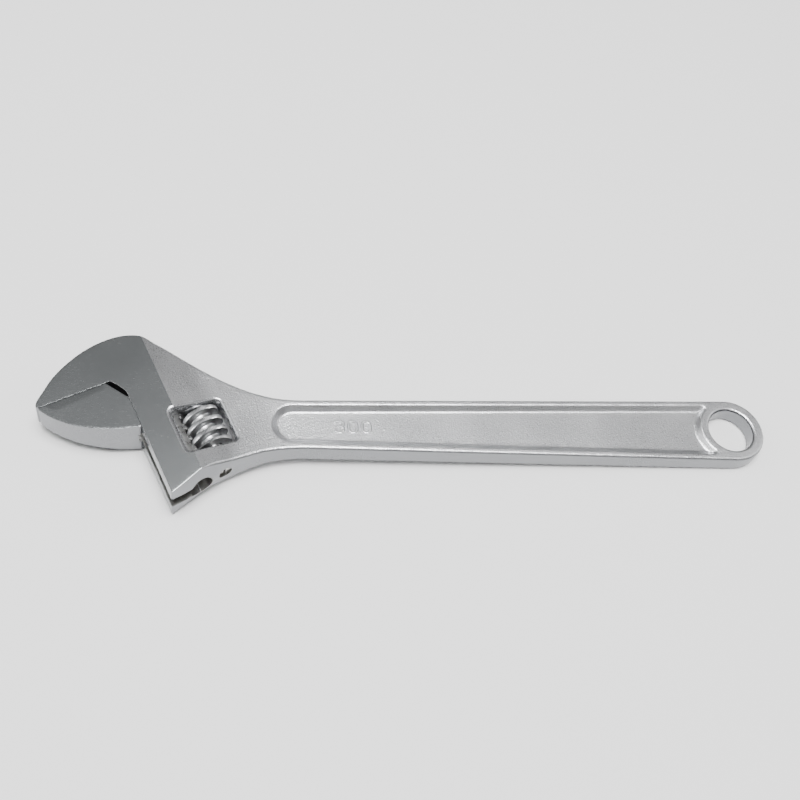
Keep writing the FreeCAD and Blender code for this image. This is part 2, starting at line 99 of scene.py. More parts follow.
def spline(points, step):
    p = np.array(points, float)
    ts = np.concatenate([[0], np.cumsum(np.linalg.norm(np.diff(p, axis=0), axis=1))])
    fine = cubic(ts, p, np.linspace(0, ts[-1], 40 * len(p)))
    return resample(fine, step)


def resample(p, step):
    s = np.concatenate([[0], np.cumsum(np.linalg.norm(np.diff(p, axis=0), axis=1))])
    n = max(2, int(round(s[-1] / step)) + 1)
    t = np.linspace(0, s[-1], n)
    return np.stack([np.interp(t, s, p[:, 0]), np.interp(t, s, p[:, 1])], 1)


def straight(p, q, step):
    return resample(np.array([p, q], float), step)


def arc(c, r, a0, a1, step):
    n = max(3, int(abs(a1 - a0) * r / step) + 1)
    t = np.linspace(a0, a1, n)
    return np.stack([c[0] + r * np.cos(t), c[1] + r * np.sin(t)], 1)


def join(*parts):
    out = [parts[0]]
    for p in parts[1:]:
        out.append(p[1:] if np.linalg.norm(p[0] - out[-1][-1]) < 1e-6 else p)
    p = np.concatenate(out)
    keep = np.linalg.norm(p - np.roll(p, 1, axis=0), axis=1) > 1e-4
    return p[keep]


# ---------------------------------------------------------------- outlines
def handle_ends():
    slope = math.asin((END_R - HANDLE_HALF_W) / HANDLE_RUN)
    touch = np.array([-END_R * math.sin(slope), END_R * math.cos(slope)])
    drop = (touch[0] + HANDLE_RUN) * math.tan(slope)
    start = np.array([-HANDLE_RUN, touch[1] - drop])
    return start, touch, slope


def body_outline():
    start, touch, slope = handle_ends()
    flip = np.array([1, -1])
    up = [(-33.45, 0.0), (-33.76, -0.7), (-33.5, -1.7), (-32.2, -3.4), (-30.0, -5.35), (-25, -9.7),
          (-20, -12.9), (-15, -15.3), (-10, -17.1), (-5, -18.25), (0, -18.7), (5, -18.45),
          (10, -17.1), (14, -14.95)]
    far = [ab(*q) for q in up]
    far += [np.array(q, float) for q in [(-245, 34.2), (-240, 31.55), (-235, 28.7), (-230, 25.8),
            (-225, 22.9), (-220, 20.2), (-215, 17.75), (-210, 15.7), (-205, 14.0), (-200, 12.7),
            (-195, 11.85), (-190, 11.45)]] + [start, start + (touch - start) * 0.03]
    s_far = spline(far, 0.55)
    s_far[:, 1] = np.minimum(s_far[:, 1], TOP_Y)
    near = [start * flip + (touch - start) * flip * 0.03, start * flip]
    near += [np.array(q, float) for q in [(-192, -11.75), (-197.9, -12.55), (-201.9, -13.5),
             (-205.8, -14.85)]]
    near += [ab(*q) for q in [(32, 50.0), (27.8, 50.05), (23.5, 50.1), (19.3, 50.15),
             (16.0, 50.25), (13.7, 50.7), (9.4, 52.2), (5.8, 53.5), (2.5, 54.6), (0.9, 55.1)]]
    s_near = spline(near, 0.5)
    tip = s_near[-1]
    corner = spline([tip, ab(0.3, 55.1), ab(0.0, 54.6), ab(0.0, 54.0)], 0.2)
    relief = [ab(0, 8.4), ab(-0.12, 7.2), ab(-0.9, 5.3), ab(-2.7, 2.15), ab(-4.4, 0.0)]
    relief = spline(relief, 0.35)
    end = arc((0, 0), END_R, math.pi / 2 + slope, -math.pi / 2 - slope, 0.5)
    return join(s_far, straight(s_far[-1], touch, 0.9), end, straight(touch * flip, s_near[0], 0.9),
                s_near, corner, straight(corner[-1], ab(0, 8.4), 0.6), relief,
                straight(relief[-1], ab(-33.45, 0), 0.5))[:-1]


def window_loop():
    a0, a1, b0, b1 = WIN
    pts = []
    corners = ((a1, b0, -90, 1.8), (a1, b1, 0, 1.8), (a0, b1, 90, 1.8), (a0, b0, 180, 1.3))
    for ca, cb, t0, r in corners:
        sa, sb = (1 if ca == a1 else -1), (1 if cb == b1 else -1)
        t = np.radians(np.linspace(t0, t0 + 90, 9))
        pts.append(ab(ca - sa * r + r * np.cos(t), cb - sb * r + r * np.sin(t)))
    raw = np.concatenate(pts + [pts[0][:1]])
    out = []
    for p, q in zip(raw[:-1], raw[1:]):
        n = max(1, int(np.linalg.norm(q - p) / 0.45))
        out += [p + (q - p) * k / n for k in range(n)]
    return np.array(out)


def pocket_loop():
    _, touch, _ = handle_ends()
    w0 = 8.95
    left = arc((-199.0 + w0, 0), w0, math.pi * 1.5, math.pi * 0.5, 0.4)
    y1 = touch[1] - 2.55
    r, c = 13.6, 2.4
    ya = y1 - c
    xa = -math.sqrt(r * r - ya * ya)
    top = straight(left[-1], (xa - c, y1), 0.5)
    bend = spline([(xa - c, y1), (xa - 0.42 * c, y1 - 0.12 * c),
                   (xa - 0.05 * c, y1 - 0.45 * c), (xa, ya)], 0.3)
    t = math.asin(ya / r)
    inner = arc((0, 0), r, math.pi - t, math.pi + t, 0.4)
    return join(left, top, bend, inner, bend[::-1] * [1, -1], top[::-1] * [1, -1])[:-1]


# ---------------------------------------------------------------- distance to loops
class Loop:
    def __init__(self, pts, inside):
        self.p = pts
        area = np.sum(pts[:, 0] * np.roll(pts[:, 1], -1) - np.roll(pts[:, 0], -1) * pts[:, 1])
        t = np.roll(pts, -1, axis=0) - np.roll(pts, 1, axis=0)
        t /= np.linalg.norm(t, axis=1)[:, None]
        n = np.stack([-t[:, 1], t[:, 0]], 1) * (1 if area > 0 else -1)
        self.n = n if inside else -n     # points into the metal
        self.tree = kdtree.KDTree(len(pts))
        for i, q in enumerate(pts):
            self.tree.insert((q[0], q[1], 0), i)
        self.tree.balance()

    def dist(self, q):
        idx = np.array([self.tree.find((x, y, 0))[1] for x, y in q])
        best = np.full(len(q), 1e9)
        n = len(self.p)
        for k in (-1, 0):
            a = self.p[(idx + k) % n]
            b = self.p[(idx + k + 1) % n]
            d = b - a
            t = np.clip(np.sum((q - a) * d, 1) / np.sum(d * d, 1), 0, 1)
            best = np.minimum(best, np.linalg.norm(q - a - t[:, None] * d, axis=1))
        return best, idx

    def contains(self, q):
        inside = np.zeros(len(q), bool)
        p1, p2 = self.p, np.roll(self.p, -1, axis=0)
        for a, b in zip(p1, p2):
            if a[1] == b[1]:
                continue
            hit = ((a[1] > q[:, 1]) != (b[1] > q[:, 1])) & \
                  (q[:, 0] < (b[0] - a[0]) * (q[:, 1] - a[1]) / (b[1] - a[1]) + a[0])
            inside ^= hit
        return inside


def quarter(d, r):
    e = np.clip(r - d, 0, r)
    return r - np.sqrt(np.maximum(r * r - e * e, 0))


def half_thickness(p):
    a, _ = to_ab(p)
    na = np.array([q[0] for q in NECK])
    nh = np.array([q[1] for q in NECK])
    neck = cubic(na, nh, np.clip(a, na[0], na[-1]))
    neck_end = na[-1]
    rest = NECK_END_H + (HANDLE_END_H - NECK_END_H) * (a - neck_end) / (HOLE_A - neck_end)
    h = np.where(a < GROUND_A, SLIDE_H + HEAD_TAPER * a, np.where(a < neck_end, neck, rest))
    return np.minimum(h, TOP_H)


def ramp(d):
    """Share of the handle recess's depth at a distance inside its rim."""
    x = np.array([-0.35, 0.0, 0.4, 0.9, 1.5, 2.0, 2.4, 2.8, 3.2])
    s = np.array([0.0, 0.25, 0.9, 1.0, 1.0, 0.9, 0.45, 0.12, 0.0])
    fine = np.linspace(-0.35, 3.2, 200)
    c = np.cumsum(np.interp(fine, x, s))
    return np.interp(d, fine, c / c[-1])


# raised size figures on the recess floor: plain straight strokes
H2, W2, LEAD = 2.55, 1.68, -173.5
FIG = {"3": [(-1, .8), (-.5, 1), (.45, 1), (.95, .72), (.95, .3), (.5, .02), (-.35, .02), (.5, .02),
             (1, -.26), (1, -.7), (.45, -1), (-.5, -1), (-1, -.8)],
       "0": [(-.4, 1), (.4, 1), (.88, .7), (1, .3), (1, -.3), (.88, -.7), (.4, -1), (-.4, -1),
             (-.88, -.7), (-1, -.3), (-1, .3), (-.88, .7), (-.4, 1)]}


def strokes():
    segs = []
    for i, ch in enumerate("300"):
        x = LEAD + W2 + 0.45 + i * (2 * W2 + 2.16)
        q = [(x + px * W2, py * H2) for px, py in FIG[ch]]
        segs += list(zip(q[:-1], q[1:]))
    return segs


def figure_height(p):
    d = np.full(len(p), 1e9)
    for a, b in strokes():
        a, b = np.array(a), np.array(b)
        e = b - a
        t = np.clip(((p - a) @ e) / (e @ e), 0, 1)
        d = np.minimum(d, np.linalg.norm(p - a - t[:, None] * e, axis=1))
    x = np.clip((0.66 - d) / 0.36, 0, 1)
    return 0.45 * x * x * (3 - 2 * x)


OUTER = Loop(body_outline(), True)
WINDOW = Loop(window_loop(), False)
HOLE = Loop(arc((0, 0), HOLE_R, 0, 2 * math.pi, 0.45)[:-1], False)
POCKET = Loop(pocket_loop(), True)


def edge_radius(p, kind):
    a, b = to_ab(p)
    if kind == "window":
        away = np.stack([a - WIN[0], WIN[1] - a, b - WIN[2], WIN[3] - b])
        w = np.exp(-np.maximum(away, 0) / 0.9)
        return (w * np.array([2.3, 1.45, 1.35, 0.45])[:, None]).sum(0) / w.sum(0)
    if kind == "hole":
        return np.full(len(p), 1.25)
    r = 0.14 + 1.0 * np.clip((a - 14.2) / 4.0, 0, 1)
    end_face = (b > 49.0) & (a < 18.2) & (a > 0.8)
    grip = (b > -0.2) & (b < 30.0) & (a < 0.2)
    return np.where(end_face, np.maximum(r, 0.5), np.where(grip, 0.05, r))


def top_height(p, flip):
    """Upper surface of the forging; flip reads it for the underside."""
    h = half_thickness(p)
    dp, _ = POCKET.dist(p)
    dp = np.where(POCKET.contains(p), dp, -dp)
    near = (p[:, 0] > -201) & (p[:, 0] < -8)
    share = np.where(near, ramp(dp), 0.0)
    h = h - (h - FLOOR_Z) * share
    q = p * [1, -1] if flip else p
    h = h + figure_height(q)
    for loop, kind in ((OUTER, "outer"), (WINDOW, "window"), (HOLE, "hole")):
        d, i = loop.dist(p)
        r = edge_radius(loop.p[i], kind)
        h = h - quarter(np.minimum(d, r), r)
    return h


def grid_points(x0, x1, y0, y1, s, jitter=0.18):
    xs = np.arange(x0, x1, s)
    ys = np.arange(y0, y1, s * 0.866)
    gx, gy = np.meshgrid(xs, ys)
    gx[1::2] += s / 2
    g = np.stack([gx.ravel(), gy.ravel()], 1)
    return g + rng.uniform(-jitter, jitter, g.shape) * s


def rings(loop, kind):
    r = edge_radius(loop.p, kind)
    out = []
    for t in (22, 42, 60, 76, 90):
        d = r * (1 - math.cos(math.radians(t)))
        q = loop.p + loop.n * d[:, None]
        true, _ = loop.dist(q)
        ok = true > d * 0.97 - 0.003
        out.append(q[ok])
    return out


def triangulate(points, edges, keep):
    v, _, f, _, _, _ = delaunay_2d_cdt([Vector(q) for q in points], edges, [], 0, 1e-5, True)
    v = np.array([(q[0], q[1]) for q in v])
    f = np.array([t for t in f if len(t) == 3])
    c = v[f].mean(1)
    return v, f[keep(c)]


def body_plan():
    loops = [(OUTER, "outer"), (WINDOW, "window"), (HOLE, "hole")]
    pts, edges, n = [], [], 0
    for loop, _ in loops:
        m = len(loop.p)
        pts.append(loop.p)
        edges += [(n + i, n + (i + 1) % m) for i in range(m)]
        n += m
    crease = straight(ab(GROUND_A, -14.4), ab(GROUND_A, 50.1), 0.5)
    _, b = to_ab(crease)
    crease = crease[(b < WIN[2] - 2.3) | (b > WIN[3] + 2.3)]
    m0 = n
    for i in range(len(crease) - 1):
        if np.linalg.norm(crease[i + 1] - crease[i]) < 0.8:
            edges.append((m0 + i, m0 + i + 1))
    pts.append(crease)
    fill = []
    for loop, kind in loops:
        fill += rings(loop, kind)
    for d in (-0.3, 0, 0.2, 0.4, 0.7, 1.1, 1.6, 2.0, 2.3, 2.6, 2.9, 3.2):
        q = POCKET.p + POCKET.n * d
        true, _ = POCKET.dist(q)
        fill.append(q[np.abs(true - abs(d)) < 0.05])
    g = [grid_points(-292, -196, -36, 40, 1.1), grid_points(-203, 16, -16, 16, 1.6)]
    fig = grid_points(LEAD - 1, LEAD + 16.5, -4.1, 4.1, 0.17, 0.05)
    gx, gy = g[1].T
    g[1] = g[1][~((gx > LEAD - 1.2) & (gx < LEAD + 16.7) & (np.abs(gy) < 4.3))]
    g = np.concatenate(g)
    ok = np.ones(len(g), bool)
    for loop, kind in loops:
        d, i = loop.dist(g)
        ok &= d > np.maximum(edge_radius(loop.p[i], kind), 0.3) + 0.25
    dp, _ = POCKET.dist(g)
    dp = np.where(POCKET.contains(g), dp, -dp)
    ok &= ~((dp > -0.7) & (dp < 3.6))
    a, _ = to_ab(g)
    ok &= np.abs(a - GROUND_A) > 0.45
    ok &= OUTER.contains(g)
    allp = np.concatenate(pts + fill + [g[ok], fig])

    def in_metal(c):
        return OUTER.contains(c) & ~WINDOW.contains(c) & ~HOLE.contains(c)

    return triangulate(allp, edges, in_metal)


def bulge(a, b):
    x = [-1, 0.9, 5, 9.4, 14, 17.7, 21, 24, 28]
    y = [0.0, 0.02, 1.0, 1.7, 2.1, 1.95, 1.1, 0.4, 0.0]
    return np.where(b > 46, np.interp(a, x, y, left=0, right=0), 0.0)


def loop_order(v, loop):
    tree = kdtree.KDTree(len(v))
    for i, q in enumerate(v):
        tree.insert((q[0], q[1], 0), i)
    tree.balance()
    return [tree.find((q[0], q[1], 0))[1] for q in loop.p]


def build_mesh(name, verts, faces):
    me = bpy.data.meshes.new(name)
    me.from_pydata([Vector(q) * MM for q in verts], [], [tuple(map(int, f)) for f in faces])
    me.validate()
    me.update()
    ob = bpy.data.objects.new(name, me)
    bpy.context.scene.collection.objects.link(ob)
    return ob


def plate_solid(name, v, f, top, bottom, loops, bulge_of=None, rows=6):
    """Closed solid from a triangulated plan with heights above and below."""
    n = len(v)
    verts = [np.column_stack([v, top]), np.column_stack([v, -bottom])]
    faces = [tuple(t) for t in f] + [tuple(t[::-1] + n) for t in f]
    count = 2 * n
    for loop in loops:
        order = loop_order(v, loop)
        m = len(order)
        prev = list(order)
        a, b = to_ab(v[order])
        out = bulge_of(a, b) if bulge_of else np.zeros(m)
        for k in range(1, rows):
            t = 1 - 2 * k / rows
            z = np.where(t > 0, top[order] * t, bottom[order] * t)
            xy = v[order] - loop.n * (out * (1 - t * t))[:, None]
            verts.append(np.column_stack([xy, z]))
            row = list(range(count, count + m))
            count += m
            faces += [(prev[i], prev[(i + 1) % m], row[(i + 1) % m], row[i]) for i in range(m)]
            prev = row
        last = [i + n for i in order]
        faces += [(prev[i], prev[(i + 1) % m], last[(i + 1) % m], last[i]) for i in range(m)]
    ob = build_mesh(name, np.concatenate(verts), faces)
    bm = bmesh.new()
    bm.from_mesh(ob.data)
    bmesh.ops.remove_doubles(bm, verts=bm.verts, dist=1e-7)
    bmesh.ops.recalc_face_normals(bm, faces=bm.faces)
    bm.to_mesh(ob.data)
    bm.free()
    return ob


def cylinder(name, r, a, b0, b1, n=96):
    t = np.linspace(0, 2 * math.pi, n, endpoint=False)
    v = []
    for b in (b0, b1):
        xy = ab(a + r * np.cos(t), np.full(n, b))
        v.append(np.column_stack([xy, r * np.sin(t)]))
    faces = [(i, (i + 1) % n, n + (i + 1) % n, n + i) for i in range(n)]
    faces += [tuple(range(n))[::-1], tuple(range(n, 2 * n))]
    return build_mesh(name, np.concatenate(v), faces)


BOX_FACES = [(0, 1, 2, 3), (7, 6, 5, 4), (0, 4, 5, 1), (1, 5, 6, 2), (2, 6, 7, 3), (3, 7, 4, 0)]


def slab(name, a0, a1, b0, b1, z0, z1):
    corners = ((a0, b0), (a1, b0), (a1, b1), (a0, b1))
    v = [np.append(ab(a, b), z) for z in (z0, z1) for a, b in corners]
    return build_mesh(name, np.array(v), BOX_FACES)


def fix_normals(ob):
    bm = bmesh.new()
    bm.from_mesh(ob.data)
    bmesh.ops.recalc_face_normals(bm, faces=bm.faces)
    bm.to_mesh(ob.data)
    bm.free()


def cut(ob, tool, op="DIFFERENCE"):
    fix_normals(tool)
    m = ob.modifiers.new("cut", "BOOLEAN")
    m.operation, m.solver, m.object = op, "EXACT", tool
    dg = bpy.context.evaluated_depsgraph_get()
    me = bpy.data.meshes.new_from_object(ob.evaluated_get(dg))
    ob.modifiers.remove(m)
    old = ob.data
    ob.data = me
    bpy.data.meshes.remove(old)
    bpy.data.objects.remove(tool)


def shade(ob, degrees=28):
    me = ob.data
    me.polygons.foreach_set("use_smooth", [True] * len(me.polygons))
    me.set_sharp_from_angle(angle=math.radians(degrees))


def tube_mesh(name, rows):
    """Rings of points joined in order, open at both ends."""
    n = len(rows[0])
    faces = []
    for j in range(len(rows) - 1):
        lo, hi = j * n, (j + 1) * n
        faces += [(lo + i, lo + (i + 1) % n, hi + (i + 1) % n, hi + i) for i in range(n)]
    return build_mesh(name, np.concatenate(rows), faces)


# ---------------------------------------------------------------- body
def make_body():
    v, f = body_plan()
    top = top_height(v, False)
    bottom = top_height(v, True)
    ob = plate_solid("forged_body", v, f, top, bottom,
                     [OUTER, WINDOW, HOLE], bulge)
    cut(ob, cylinder("bore", BORE_R, BORE_A, -3.2, 70))
    cut(ob, slab("slot", -2, BORE_A, 4.5, 70, -3, 3))
    cut(ob, cylinder("pin_hole", PIN_HEAD_HOLE_R, WORM_A, 41, 60, 48))
    cut(ob, cylinder("pin_blind", PIN_R, WORM_A, 14, 23, 48))
    return ob


# ---------------------------------------------------------------- movable jaw
JAW_S, JAW_G, JAW_H = -0.05, 0.05, 23.9
FACET = [(-31.0, 0.0), (-27.0, 3.9), (-7.0, 2.3)]


def jaw_outline():
    back = spline([ab(-33.18, 0.32), ab(-33.0, 1.2), ab(-32.2, 2.7), ab(-30.0, 6.0), ab(-27.3, 9.1),
                   ab(-25.0, 11.45), ab(-20.0, 15.35), ab(-15.0, 18.35), ab(-10.0, 20.75),
                   ab(-5.0, 22.55), ab(-1.2, 23.72)], 0.5)
    foot = spline([back[-1], ab(-0.5, 23.86), ab(JAW_S, 23.6), ab(JAW_S, 23.0)], 0.2)
    tip = np.array([ab(-33.12, JAW_G + 0.03), back[0]])
    face = [ab(JAW_S, 23.0), ab(JAW_S, 10.4), ab(JAW_S - 0.12, 9.85), ab(-6.15, JAW_G + 0.12),
            ab(-6.35, JAW_G), ab(-33.02, JAW_G)]
    run = np.concatenate([straight(face[i], face[i + 1], 0.5)[:-1] for i in range(5)] + [face[5:6]])
    return join(back, foot, run, tip)[:-1]


def facet_drop(p):
    """Depth of the shallow bevel along the gripping edge of the movable jaw."""
    a, b = to_ab(p)
    edge = np.interp(a, [FACET[1][0], FACET[2][0]], [FACET[1][1], FACET[2][1]])
    long_side = 0.06 * (edge - b)
    p0, p1 = np.array(FACET[0]), np.array(FACET[1])
    d = (p1 - p0) / np.linalg.norm(p1 - p0)
    diag = 0.16 * ((a - p0[0]) * d[1] - (b - p0[1]) * d[0])
    heel = 0.12 * (-6.6 - a)
    return np.clip(np.minimum(np.minimum(long_side, diag), heel), 0, 0.55)


def jaw_plate():
    loop = Loop(jaw_outline(), True)
    m = len(loop.p)
    edges = [(i, (i + 1) % m) for i in range(m)]
    r = 0.16
    fill = []
    for t in (30, 60, 90):
        d = r * (1 - math.cos(math.radians(t)))
        q = loop.p + loop.n * d
        true, _ = loop.dist(q)
        fill.append(q[true > d * 0.97 - 0.002])
    lines = [straight(ab(-30.9, 0.3), ab(*FACET[1]), 0.5),
             straight(ab(*FACET[1]), ab(-7.3, 2.32), 0.5)]
    n = m
    pts = [loop.p]
    for q in lines:
        pts.append(q)
        edges += [(n + i, n + i + 1) for i in range(len(q) - 1)]
        n += len(q)
    g = grid_points(-292, -250, -12, 34, 1.0)
    d, _ = loop.dist(g)
    g = g[loop.contains(g) & (d > 0.7)]
    a, b = to_ab(g)
    near = np.minimum(np.abs(b - np.interp(a, [-27, -7], [3.9, 2.3])), 9)
    g = g[near > 0.4]
    v, f = triangulate(np.concatenate(pts + fill + [g]), edges, loop.contains)
    a, _ = to_ab(v)
    dist, _ = loop.dist(v)
    h = SLIDE_H + HEAD_TAPER * a - facet_drop(v) - quarter(np.minimum(dist, r), r)
    return plate_solid("sliding_jaw", v, f, h, h, [loop], None, 4)


def groove_cutters():
    tip = BORE_A + BORE_R + 0.6
    root = WORM_A - WORM_R - 0.4
    w1 = (3.25 + (3.25 - 2.35) / (BORE_A + BORE_R - root) * 0.6) / 2
    w0 = 2.35 / 2
    tilt = PITCH / (2 * math.pi * (WORM_R - 1))
    first = RIDGE_B + PITCH / 4
    n0, n1 = math.ceil((-3.9 - first) / PITCH), math.floor((44.9 - first) / PITCH)
    verts, faces = [], []
    for k in range(n0, n1 + 1):
        b = first + k * PITCH
        base = len(verts)
        for z in (-6.0, 6.0):
            s = b - tilt * z
            for a, bb in ((root, s - w0), (tip, s - w1), (tip, s + w1), (root, s + w0)):
                verts.append(np.append(ab(a, bb), z))
        faces += [tuple(base + i for i in q) for q in BOX_FACES]
    return build_mesh("grooves", np.array(verts), faces)


def lathe(name, axis_a, profile, n=96):
    """Closed solid of revolution about a line along u; profile is (radius, b) from axis to axis."""
    t = np.linspace(0, 2 * math.pi, n, endpoint=False)
    verts, faces, rows = [], [], []
    for r, b in profile:
        if r < 1e-6:
            rows.append([len(verts)])
            verts.append(np.append(ab(axis_a, b), 0.0))
            continue
        rows.append(list(range(len(verts), len(verts) + n)))
        xy = ab(axis_a + r * np.sin(t), np.full(n, b))
        verts += [np.append(q, r * math.cos(k)) for q, k in zip(xy, t)]
    for lo, hi in zip(rows[:-1], rows[1:]):
        for i in range(n):
            j = (i + 1) % n
            if len(lo) == 1:
                faces.append((lo[0], hi[i], hi[j]))
            elif len(hi) == 1:
                faces.append((lo[i], hi[0], lo[j]))
            else:
                faces.append((lo[i], hi[i], hi[j], lo[j]))
    ob = build_mesh(name, np.array(verts), faces)
    fix_normals(ob)
    return ob


def make_jaw():
    ob = jaw_plate()
    c = 0.8
    r = STEM_R
    stem = lathe("stem", BORE_A,
                 [(0, -1.9), (r - c, -1.9), (r - 0.3 * c, -1.7), (r, -1.9 + c),
                  (r, 42.9 - c), (r - 0.3 * c, 42.7), (r - c, 42.9), (0, 42.9)], 120)
    cut(stem, groove_cutters())
    web = slab("web", -1.5, BORE_A, 6.0, JAW_H, -2.94, 2.94)
    cut(web, stem, "UNION")
    cut(ob, web, "UNION")
    return ob


# ---------------------------------------------------------------- worm
def make_worm():
    knurls, per = 84, 4
    n = knurls * per
    crest, run = 0.95, 0.45
    half = PITCH / 2
    prof = [(-half, WORM_ROOT, 0), (-crest - run - 0.35, WORM_ROOT, 0),
            (-crest - run - 0.08, WORM_ROOT + 0.12, 0), (-crest - run * 0.55, 6.3, 0),
            (-crest - 0.06, 7.55, 0.2), (-crest + 0.12, 7.9, 0.8),
            (-crest + 0.35, WORM_R, 1), (-0.3, WORM_R, 1), (0.3, WORM_R, 1),
            (crest - 0.35, WORM_R, 1),
            (crest - 0.12, 7.9, 0.8), (crest + 0.06, 7.55, 0.2), (crest + run * 0.55, 6.3, 0),
            (crest + run + 0.08, WORM_ROOT + 0.12, 0), (crest + run + 0.35, WORM_ROOT, 0)]
    turns = 6
    wave = np.abs((np.arange(n * turns + 1) % per) / per - 0.5) * 2
    bite = 0.24 * wave
    b_first = RIDGE_B - 2 * PITCH
    verts = []
    for k in range(n * turns + 1):
        ang = 2 * math.pi * k / n
        mid = b_first + PITCH * k / n
        # the ridge falls back along u as the angle goes from +Z towards +a
        for db, r, share in prof:
            rr = r - share * bite[k]
            verts.append(np.append(ab(WORM_A - rr * math.sin(ang), mid + db), rr * math.cos(ang)))
    m = len(prof)
    faces = []
    for k in range(n * turns):
        for j in range(m - 1):
            faces.append((k * m + j, (k + 1) * m + j, (k + 1) * m + j + 1, k * m + j + 1))
        if k + n <= n * turns:
            # last root point meets the first root point one turn on
            u0, u1 = k + n, min(k + n + 1, n * turns)
            if u1 > u0:
                faces.append((k * m + m - 1, (k + 1) * m + m - 1, u1 * m, u0 * m))
    low_c, high_c = len(verts), len(verts) + 1
    verts.append(np.append(ab(WORM_A, b_first), 0.0))
    verts.append(np.append(ab(WORM_A, b_first + PITCH * turns), 0.0))
    for k in range(n):
        faces.append((low_c, (k + 1) * m, k * m))
    rim = list(range(m)) + [n * m]
    for p, q in zip(rim[:-1], rim[1:]):
        faces.append((low_c, p, q))
    top0 = n * turns - n
    for k in range(top0, n * turns):
        faces.append((high_c, k * m + m - 1, (k + 1) * m + m - 1))
    rim = [top0 * m + m - 1] + [n * turns * m + j for j in range(m)]
    for p, q in zip(rim[:-1], rim[1:]):
        faces.append((high_c, p, q))
    ob = build_mesh("thumb_worm", np.array(verts), faces)
    fix_normals(ob)
    c = 0.3
    over = WORM_R + 0.01
    blank = lathe("blank", WORM_A,
                  [(0, WORM_B0), (WORM_R - c, WORM_B0), (over, WORM_B0 + c),
                   (over, WORM_B1 - c), (WORM_R - c, WORM_B1), (0, WORM_B1)], 180)
    cut(ob, blank, "INTERSECT")
    seat_b = WORM_B1 - 2.5
    hole = lathe("hole", WORM_A, [(0, 20), (WORM_HOLE_R, 20), (WORM_HOLE_R, seat_b),
                                  (SPRING_SEAT_R, seat_b), (SPRING_SEAT_R, 42), (0, 42)], 96)
    cut(ob, hole)
    return ob


def make_pin():
    ob = lathe("worm_screw_pin", WORM_A,
               [(0, 14.25), (2.2, 14.25), (PIN_R, 14.55), (PIN_R, 44.05), (PIN_HEAD_R, 44.1),
                (PIN_HEAD_R, 49.25), (2.6, 49.5), (2.4, 49.59), (0, 49.59)], 72)
    cut(ob, slab("driver_slot", WORM_A - 0.45, WORM_A + 0.45, 48.3, 52, -4, 4))
    return ob


def make_spring():
    rw, rm = 0.4, 3.45
    b0, b1 = 36.93 + rw + 0.03, 42.0 - rw - 0.02
    rows = []
    n, per = 14, 44
    # one flat coil at each end, open turns between
    knots_t = [0.0, 0.75, 3.1, 3.85]
    knots_b = [b0, b0 + 0.12, b1 - 0.12, b1]
    steps = int(per * knots_t[-1])
    for k in range(steps + 1):
        t = knots_t[-1] * k / steps
        ang = 2 * math.pi * t
        b = float(np.interp(t, knots_t, knots_b))
        ring = []
        for i in range(n):
            s = 2 * math.pi * i / n
            r = rm + rw * math.cos(s)
            flat = ab(WORM_A + r * math.sin(ang), b + rw * math.sin(s))
            ring.append(np.append(flat, r * math.cos(ang)))
        rows.append(np.array(ring))
    ob = tube_mesh("coil_spring", rows)
    bm = bmesh.new()
    bm.from_mesh(ob.data)
    bmesh.ops.holes_fill(bm, edges=[e for e in bm.edges if e.is_boundary], sides=0)
    bmesh.ops.recalc_face_normals(bm, faces=bm.faces)
    bm.to_mesh(ob.data)
    bm.free()
    return ob


body = make_body()
jaw = make_jaw()
worm = make_worm()
pin = make_pin()
spring = make_spring()


